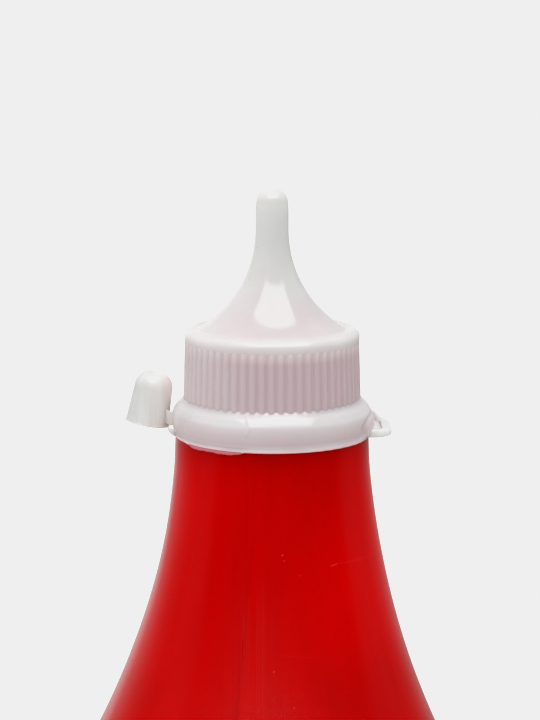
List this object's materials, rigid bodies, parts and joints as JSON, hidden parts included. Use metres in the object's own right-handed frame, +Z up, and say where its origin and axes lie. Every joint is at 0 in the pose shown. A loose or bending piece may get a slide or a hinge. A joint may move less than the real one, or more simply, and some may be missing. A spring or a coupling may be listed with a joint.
{
  "type": "ketchup bottle",
  "caption": "Round red squeeze bottle with a waisted shoulder and a white ribbed screw closure, whose tall nozzle and tethered tip cover are moulded in one piece",
  "frame": {"origin": "middle of the flat standing ring under the bottle, on the surface it stands on", "axes": "+Z up along the bottle; -Y is the front, the side the picture shows; +X is to the right as the front is seen, where the tether leaves the closure"},
  "size_m": [0.07, 0.07, 0.1984],
  "materials": {
    "red_polyethylene": "satin blow-moulded surface, coloured right through, with faint vertical draw lines and one parting line",
    "white_polyethylene": "smooth injection-moulded natural white, slightly translucent, so the red sauce behind it tints it pink"
  },
  "bodies": {
    "root": {"bottle": "red_polyethylene", "closure": "white_polyethylene"}
  },
  "joints": []
}
